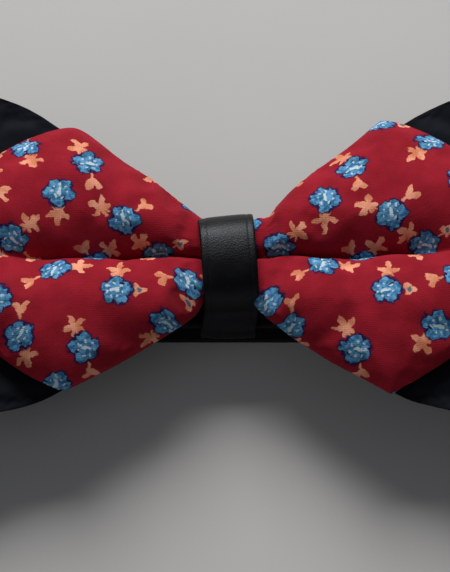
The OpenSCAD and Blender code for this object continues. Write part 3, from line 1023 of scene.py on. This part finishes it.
def arc(x, z, radius, start, end):
    """Points round an arc in the plane along the band; angles in degrees from +X towards +Z."""
    count = max(6, int(abs(end - start) / 9))
    return [(x + radius * math.cos(math.radians(a)), z + radius * math.sin(math.radians(a)))
            for a in np.linspace(start, end, count)]


def strap_section():
    """The strap's section: (place across the strap, place through it), with a sunk line of stitching
    near each edge and rounded sides."""
    half_t = BAND_T / 2
    flat_half = BAND_HALF - half_t
    top = [(t * flat_half, half_t - 0.12 * (abs(t) > 0.86) * (abs(t) < 0.93))
           for t in np.linspace(-1, 1, 25)]
    side = [(flat_half + half_t * math.cos(math.radians(a)), half_t * math.sin(math.radians(a)))
            for a in np.linspace(80, -80, 5)]
    return np.array(top + side + [(-w, -d) for w, d in top] + [(-w, -d) for w, d in side])


def stations_along(path):
    """(lengths along a path, points of the path there), roughly a step apart."""
    path = np.array(path)
    lengths = np.linalg.norm(np.diff(path, axis=0), axis=1)
    along = np.concatenate([[0], np.cumsum(lengths)])
    places = []
    for start, length in zip(along, lengths):
        pieces = max(1, int(length / ROUTE_STEP))
        places.extend(start + length * k / pieces for k in range(pieces))
    places.append(along[-1])
    return places, np.stack([np.interp(places, along, path[:, k]) for k in (0, 1)], axis=1)


def strap(name, path, body_blend, nodes):
    """A flat strap swept along path, a list of (x, z) at the middle of its thickness."""
    places, centre = stations_along(path)
    ahead = np.gradient(centre, axis=0)
    ahead /= np.linalg.norm(ahead, axis=1, keepdims=True)
    normal = np.stack([-ahead[:, 1], ahead[:, 0]], axis=1)
    section = strap_section()
    rows = len(section)
    points = [(c[0] + n[0] * d, w, c[1] + n[1] * d) for c, n in zip(centre, normal) for w, d in section]
    faces = grid_faces(len(centre), rows, wrap=True)
    uvs = [(places[i // rows], section[i % rows][0]) for face in faces for i in face]
    first = tuple(range(rows))
    last = tuple((len(centre) - 1) * rows + j for j in range(rows))[::-1]
    for cap in (first, last):
        faces.append(cap)
        uvs.extend((section[i % rows][1], section[i % rows][0]) for i in cap)
    obj = make_mesh(name, points, faces, uvs, BAND)
    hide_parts(*nodes)
    if body_blend:
        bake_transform(obj)
    else:
        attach(obj, "band")
    return obj


neck_strap = strap(
    "neck_strap",
    [(SPLIT_X, LOWER_Z), (FOLD_X, LOWER_Z)] + arc(FOLD_X, LOWER_Z + FOLD_R, FOLD_R, 270, 90)[1:]
    + [(HOOK_BAR_X, UPPER_Z)] + arc(HOOK_BAR_X, BAR_Z, LOOP_R, 90, -90)[1:],
    None, ("band_front", "band_back", "band_left_fold"))
strap("adjusting_strap",
      [(HOOK_BAR_X, RETURN_Z), (SLIDER_X, RETURN_Z)] + arc(SLIDER_X, SLIDER_Z, SLIDER_R, 90, 270)[1:]
      + [(SLIDER_TAIL, SLIDER_Z - SLIDER_R)],
      ("adjuster", (HOOK_BAR_X * MM, 0, 0), (SLIDER_TAIL * MM, 0, 0)),
      ("band_return", "band_slider_loop"))
strap("eye_strap",
      [(SPLIT_X, LOWER_Z), (-FOLD_X, LOWER_Z)] + arc(-FOLD_X, LOWER_Z + FOLD_R, FOLD_R, -90, 90)[1:]
      + [(EYE_BAR_X, UPPER_Z)] + arc(EYE_BAR_X, BAR_Z, LOOP_R, 90, 270)[1:]
      + [(eye_loop_high[0], RETURN_Z)],
      ("eye_end", (SPLIT_X * MM, 0, 0), (eye_low[0] * MM, 0, 0)), ("band_right_fold", "band_eye_loop"))

# ---- hardware and thread


def add_hardware(node, body):
    """A copy of a metal CAD node with its edges rounded, as stamped and plated parts have."""
    obj = bpy.data.objects.new(node + "_metal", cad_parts[node].data.copy())
    bpy.context.scene.collection.objects.link(obj)
    obj.data.materials.clear()
    obj.data.materials.append(NICKEL)
    weld = obj.modifiers.new("weld", "WELD")
    weld.merge_threshold = 0.01 * MM
    bevel = obj.modifiers.new("edges", "BEVEL")
    bevel.width = 0.16 * MM
    bevel.segments = 3
    bevel.limit_method = "ANGLE"
    bevel.angle_limit = math.radians(40)
    obj.modifiers.new("flat faces", "WEIGHTED_NORMAL").weight = 60
    obj.data.shade_smooth()
    apply_modifiers(obj)
    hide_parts(node)
    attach(obj, body)


for node, body in (("slider", "adjuster"), ("hook", "band"), ("eye", "eye_end")):
    add_hardware(node, body)

for node in ("gather_thread", "knot_stitches", "slider_tack", "eye_tack"):
    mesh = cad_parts[node].data
    mesh.materials.clear()
    mesh.materials.append(THREAD)

# ---- floor and light


FLOOR_SIZE = 6


def add_floor():
    bpy.ops.mesh.primitive_plane_add(size=FLOOR_SIZE, location=(0, 0, 0))
    floor = bpy.context.object
    floor.name = "floor"
    g = Graph("floor")
    paper = g.noise(g.object_mm(), 0.02, 3)
    floor.data.materials.append(g.finish(
        Base_Color=g.mix((0.50, 0.495, 0.49, 1), (0.54, 0.535, 0.53, 1), paper), Roughness=0.9))


def add_light(name, place, size, power, colour=(1, 1, 1)):
    data = bpy.data.lights.new(name, "AREA")
    data.size = size
    data.energy = power
    data.color = colour
    light = bpy.data.objects.new(name, data)
    light.location = place
    light.rotation_mode = "QUATERNION"
    light.rotation_quaternion = Vector(place).to_track_quat("Z", "Y")
    bpy.context.scene.collection.objects.link(light)


def add_world():
    world = bpy.data.worlds.new("studio")
    world.use_nodes = True
    background = world.node_tree.nodes["Background"]
    background.inputs["Color"].default_value = (0.92, 0.95, 1, 1)
    background.inputs["Strength"].default_value = 0.11
    bpy.context.scene.world = world


add_floor()
add_light("window", (-0.06, 0.64, 0.52), 0.42, 8.0, (1, 0.985, 0.965))
add_light("fill", (-0.4, -0.5, 0.7), 0.8, 0.55, (0.95, 0.97, 1))
add_world()
bpy.context.scene.view_settings.view_transform = "Standard"

bpy.context.view_layer.update()
